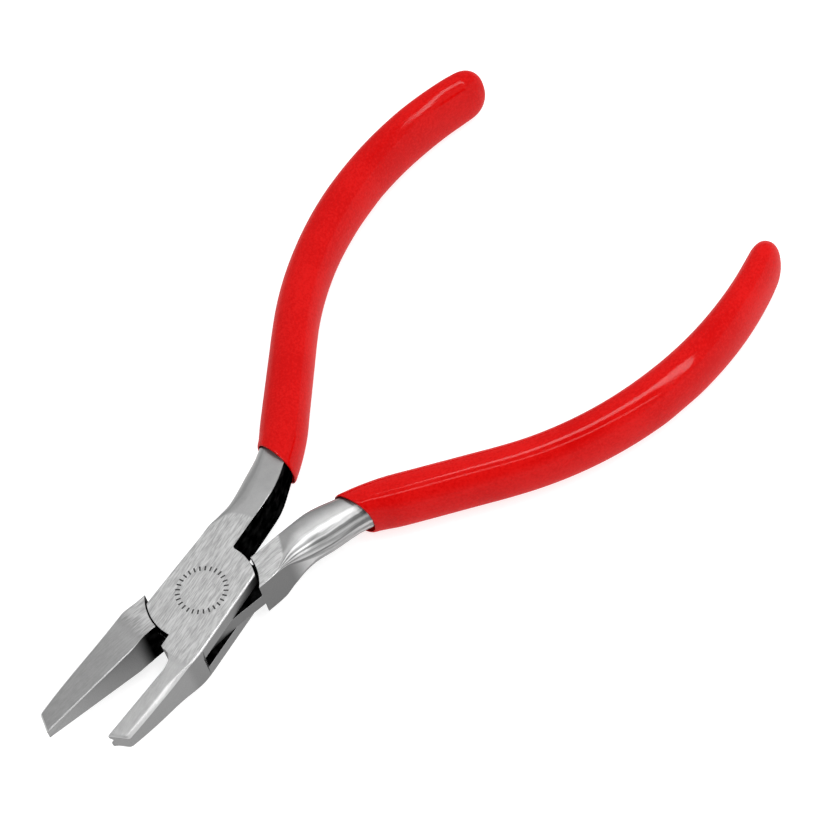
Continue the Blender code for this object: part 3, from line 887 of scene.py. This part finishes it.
def steel_level(nodes, places, grain, look):
    """How bright the metal is: ground cheeks and necks, painted highlights on the slopes, painted
    reflection bands on the tongue half's neck, painted shade on the sides and on the jaws' inner faces,
    and black scale with painted shade.
    """
    x, up, jaw = places["x"], places["up"], places["jaw"]
    lines, fine = grain["lines"], grain["fine"]
    level = nodes.mix(nodes.step(x, *JAW_FADE_X), look["jaw"], look["jaw_root"])
    level = nodes.mix(jaw, look["body"], level)
    neck_level = nodes.mix(places["crown"], look["neck_top"], look["neck"])
    level = nodes.mix(places["neck"], level, neck_level)

    # Painted reflection bands along the round of the tongue half's neck, laid out by which way its faces
    # look
    across = nodes.times(nodes.math("ARCCOSINE", up), BAND_RATE)
    inputs = {0: nodes.times(x, BAND_DRIFT), 1: across, 2: 0.0}
    band_place = nodes.add("ShaderNodeCombineXYZ", inputs).outputs[0]
    bands = nodes.step(nodes.noise(band_place, 1.0, 1.0, 0.5), *BAND_CONTRAST)
    bands = nodes.math("ADD", bands, nodes.scale(lines, *BAND_RAGGEDNESS))
    reflection_bands = nodes.both(places["neck"], places["crown"], look["reflection_bands"])
    level = nodes.times(level, nodes.mix(reflection_bands, 1.0, nodes.scale(bands, *BAND_SPREAD)))

    level = nodes.times(level, nodes.scale(grain["cloud"], *MOTTLE))
    level = nodes.times(level, nodes.scale(fine, *MOTTLE))
    filed = nodes.both(jaw, nodes.step(up, *FILED_UP))
    level = nodes.times(level, nodes.mix(filed, 1.0, nodes.scale(lines, *FILE_SPREAD)))

    # Painted shade: the sides are darker than the faces that look up
    shaded_side_level = nodes.mix(jaw, look["side"], look["jaw_shaded_side"])
    shaded_side_level = nodes.times(shaded_side_level, nodes.scale(fine, *SIDE_MOTTLE))
    level = nodes.mix(places["rough_shaded_side"], level, shaded_side_level)
    # Painted shade: a jaw's inner face darker towards its root
    face_shade_level = nodes.scale(nodes.step(x, *FACE_SHADE_FADE_X), *FACE_SHADE_LEVELS)
    face_shade_level = nodes.times(face_shade_level, nodes.scale(fine, *FACE_MOTTLE))
    level = nodes.mix(places["jaw_face"], level, face_shade_level)
    # Painted highlight: the slopes and rounded edges are brighter
    level = nodes.mix(places["edge"], level, nodes.mix(jaw, *EDGE_HIGHLIGHT_LEVELS))

    strokes = nodes.scale(grain["strokes"], *STROKE_SPREAD)
    marks = nodes.times(strokes, nodes.scale(grain["broad"], *BROAD_SPREAD))
    ground_level = nodes.mix(nodes.step(x, *GROUND_FADE_X), GROUND_LEVEL, look["jaw_root"])
    level = nodes.mix(places["ground"], level, nodes.times(ground_level, marks))
    # Black scale with painted shade in the recesses
    scale_and_shade_level = nodes.times(nodes.step(grain["cloud"], *SCALE_AND_SHADE_CONTRAST), SCALE_AND_SHADE_LEVEL)
    level = nodes.mix(places["black"], level, scale_and_shade_level)
    return nodes.mix(places["punched"], level, PUNCHED_LEVEL)


def steel(name, turn, side, look):
    """Tool steel in one half's own frame, with painted shade and painted highlights in its colour.

    side is +1 where the half's jaw is on +y, and -1 where it is on -y. look holds what differs from half
    to half.
    """
    made, nodes, shader = new_material(name)
    where, normal = half_frame(nodes, turn)
    grain = steel_grain(nodes, where)
    places = steel_places(nodes, where, normal, side, look)
    level = steel_level(nodes, places, grain, look)
    ground, black = places["ground"], places["black"]

    rough = nodes.mix(nodes.both(places["neck"], places["crown"]), BODY_ROUGHNESS, NECK_ROUGHNESS)
    rough = nodes.mix(nodes.either(places["rough_shaded_side"], places["jaw_face"]), rough, DULL_ROUGHNESS)
    rough = nodes.mix(ground, rough, nodes.scale(grain["strokes"], *GROUND_ROUGHNESS))
    rough = nodes.mix(black, rough, nodes.scale(grain["fine"], *SCALE_ROUGHNESS))

    scratches = nodes.times(nodes.math("ADD", grain["strokes"], grain["fine"]), SCRATCH_SHARE)
    relief = nodes.mix(ground, grain["fine"], scratches)
    inputs = {"Strength": STEEL_BUMP, "Distance": STEEL_RELIEF * MM, "Height": relief}
    bump = nodes.add("ShaderNodeBump", inputs).outputs[0]
    colour = nodes.add("ShaderNodeCombineColor", {0: level, 1: level, 2: level}).outputs[0]
    nodes.fill(
        shader,
        {
            "Base Color": colour,
            "Metallic": nodes.scale(black, 1.0, 0.0),
            "Roughness": rough,
            "Normal": bump,
            "Specular IOR Level": 0.0,
        },
    )
    return made


# What differs between the halves. ground is the arc that the belt's marks end in: centre and radius.
# The levels for the sides are painted shade, and the neck's bands are a painted reflection.
BOX_LOOK = {
    "body": 0.34,
    "jaw": 0.37,
    "jaw_root": 0.38,
    "neck": 0.26,
    "neck_top": 0.32,
    "reflection_bands": 0.0,
    "side": 0.19,
    "jaw_shaded_side": 0.24,
    "ground": (-8.0, -0.5, 5.55),
}
TONGUE_LOOK = {
    "body": 0.26,
    "jaw": 0.27,
    "jaw_root": 0.3,
    "neck": 0.27,
    "neck_top": 0.22,
    "reflection_bands": 1.0,
    "side": 0.145,
    "jaw_shaded_side": 0.205,
    "ground": (11.5, 10.5, 27.8),
}


# The vinyl's noise, per metre, and its two reds
TINT_RATE = 90.0
SPECK_RATE = 2600.0
RIPPLE_RATE = 160.0
DEEP_RED = (0.43, 0.0004, 0.0004, 1.0)
BRIGHT_RED = (0.51, 0.004, 0.0035, 1.0)
RED_CONTRAST = (0.38, 0.62)
TINT_SHARE = 0.4
SPECK_SHARE = 0.6
SPECK_RELIEF = 0.06
VINYL_RELIEF = 0.25
VINYL_BUMP = 0.2
VINYL_ROUGHNESS = (0.3, 0.4)


def vinyl(name):
    """Glossy dipped vinyl with a slightly uneven skin."""
    made, nodes, shader = new_material(name)
    where = nodes.add("ShaderNodeTexCoord", {}).outputs["Object"]
    tint = nodes.noise(where, TINT_RATE, 3.0, 0.6)
    speck = nodes.noise(where, SPECK_RATE, 2.0, 0.6)
    shade = nodes.math("ADD", nodes.times(tint, TINT_SHARE), nodes.times(speck, SPECK_SHARE))
    ripple = nodes.noise(where, RIPPLE_RATE, 2.0, 0.5)
    relief = nodes.math("ADD", ripple, nodes.times(speck, SPECK_RELIEF))
    inputs = {"Strength": VINYL_BUMP, "Distance": VINYL_RELIEF * MM, "Height": relief}
    bump = nodes.add("ShaderNodeBump", inputs).outputs[0]
    nodes.fill(
        shader,
        {
            "Base Color": nodes.mix_colour(nodes.step(shade, *RED_CONTRAST), DEEP_RED, BRIGHT_RED),
            "Roughness": nodes.scale(speck, *VINYL_ROUGHNESS),
            "Normal": bump,
            "Specular IOR Level": 0.0,
            "Coat Weight": 0.2,
            "Coat Roughness": 0.09,
        },
    )
    return made


# ---------------------------------------------------------------- studio


FLOOR_HALF_SIZE = 4.0
# Two soft tubes over the bench: start, end and width in metres, and power in watts
STRIPS = {
    "strip": ((-0.12, -0.12, 0.5), (-0.37, 1.4, 0.5), 0.075, 4.6),
    "second_strip": ((0.08, -0.12, 0.5), (-0.17, 1.4, 0.5), 0.045, 1.6),
}
PATCH_FACING = (0.6, 0.97)  # how squarely the room's darker patch is faced, where it starts and is full
PATCH_GREY = 0.3
WORLD_STRENGTH = 0.92


def floor():
    """White paper under the tool. It glows, so that it stays white and the tool hardly colours it."""
    low = CAD_BOX[0][2]
    mesh = bpy.data.meshes.new("floor")
    square = ((-1, -1), (1, -1), (1, 1), (-1, 1))
    corners = [(x * FLOOR_HALF_SIZE, y * FLOOR_HALF_SIZE, low) for x, y in square]
    mesh.from_pydata(corners, [], [(0, 1, 2, 3)])
    obj = bpy.data.objects.new("floor", mesh)
    bpy.context.scene.collection.objects.link(obj)
    made, nodes, shader = new_material("floor_paper")
    nodes.fill(
        shader,
        {
            "Base Color": grey(0.5),
            "Roughness": 0.9,
            "Specular IOR Level": 0.1,
            "Emission Color": grey(1.0),
            "Emission Strength": 0.7,
        },
    )
    mesh.materials.append(made)


def strip_light(name, start, end, width, power):
    """A long soft tube over the bench, from start to end, shining down."""
    run = Vector(end) - Vector(start)
    light = bpy.data.lights.new(name, "AREA")
    light.shape = "RECTANGLE"
    light.size = run.length
    light.size_y = width
    light.energy = power
    obj = bpy.data.objects.new(name, light)
    obj.location = (Vector(start) + Vector(end)) / 2
    obj.rotation_euler = (0, 0, math.atan2(run.y, run.x))
    bpy.context.scene.collection.objects.link(obj)


def camera_direction():
    """From the tool towards the camera."""
    level = math.cos(CAMERA_ELEVATION)
    x = level * math.cos(CAMERA_AZIMUTH)
    y = level * math.sin(CAMERA_AZIMUTH)
    return Vector((x, y, math.sin(CAMERA_ELEVATION)))


def world():
    """An even white surround, with a darker patch of the room behind the camera's place."""
    made = bpy.data.worlds.new("studio")
    bpy.context.scene.world = made
    made.use_nodes = True
    nodes = Nodes(made.node_tree)
    background = made.node_tree.nodes["Background"]
    direction = nodes.add("ShaderNodeTexCoord", {}).outputs["Generated"]
    inputs = {0: direction, 1: camera_direction()}
    dark_side = nodes.add("ShaderNodeVectorMath", inputs, operation="DOT_PRODUCT").outputs["Value"]
    patch = nodes.step(dark_side, *PATCH_FACING)
    colour = nodes.mix_colour(patch, grey(1.0), grey(PATCH_GREY))
    nodes.fill(background, {"Color": colour, "Strength": WORLD_STRENGTH})


def camera():
    data = bpy.data.cameras.new("camera")
    data.lens = CAMERA_LENS
    data.clip_start = 0.01
    obj = bpy.data.objects.new("camera", data)
    bpy.context.scene.collection.objects.link(obj)
    away = camera_direction()
    aim = (-away).to_track_quat("-Z", "Y").to_matrix().to_4x4()
    roll = Matrix.Rotation(CAMERA_ROLL, 4, "Z")
    obj.matrix_world = Matrix.Translation(CAMERA_TARGET + CAMERA_DISTANCE * away) @ aim @ roll
    bpy.context.scene.camera = obj


box_steel(steel("box_half_ground_steel", HALF_OPENING, 1.0, BOX_LOOK))
pin(steel("rivet_ground_steel", HALF_OPENING, 1.0, BOX_LOOK))
tongue_steel(steel("tongue_half_ground_steel", -HALF_OPENING, -1.0, TONGUE_LOOK))
sleeve(
    "box_half_sleeve",
    BOX_HANDLE,
    False,
    HALF_OPENING,
    "box_side",
    vinyl("box_grip_red_vinyl"),
    "box_half_grip",
)
sleeve(
    "tongue_half_sleeve",
    TONGUE_HANDLE,
    True,
    -HALF_OPENING,
    "tongue_side",
    vinyl("tongue_grip_red_vinyl"),
    "tongue_half_grip",
)
world()
for strip_name, strip in STRIPS.items():
    strip_light(strip_name, *strip)
floor()
camera()
bpy.context.scene.view_settings.view_transform = "Standard"
